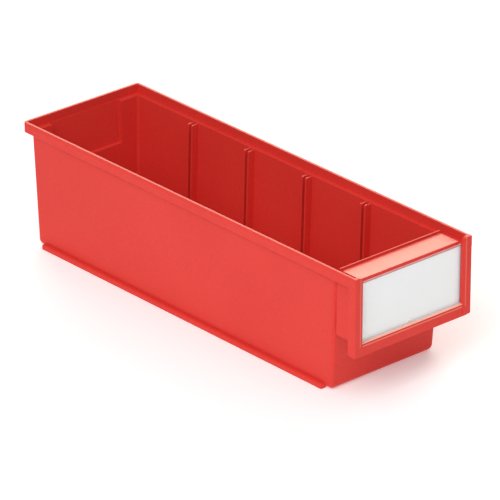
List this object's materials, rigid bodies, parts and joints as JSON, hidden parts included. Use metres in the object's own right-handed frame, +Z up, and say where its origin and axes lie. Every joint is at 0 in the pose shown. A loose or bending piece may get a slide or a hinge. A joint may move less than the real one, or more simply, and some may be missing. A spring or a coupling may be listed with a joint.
{
  "type": "stackable storage bin",
  "caption": "Long narrow open-top storage tub with a stacking rim, foot rails, divider slots and a front label holder with card and clear cover.",
  "frame": {"origin": "centre of the footprint, on the surface that the bin stands on", "axes": "+X to the right seen from the label side, +Y to the rear (the label holder faces -Y), +Z up"},
  "size_m": [0.092, 0.3, 0.082],
  "materials": {
    "bin_plastic": "fine moulded grain, satin",
    "card_paper": "matt paper",
    "cover_clear": "clear, glossy"
  },
  "bodies": {
    "bin": {"bin_body": "bin_plastic"},
    "card": {"label_card": "card_paper"},
    "cover": {"label_cover": "cover_clear"}
  },
  "joints": [
    {"name": "card_slide", "type": "slide", "parent": "bin", "child": "card", "axis": [0, 0, 1], "range_m": [0, 0.046]},
    {"name": "cover_slide", "type": "slide", "parent": "bin", "child": "cover", "axis": [0, 0, 1], "range_m": [0, 0.046]}
  ]
}
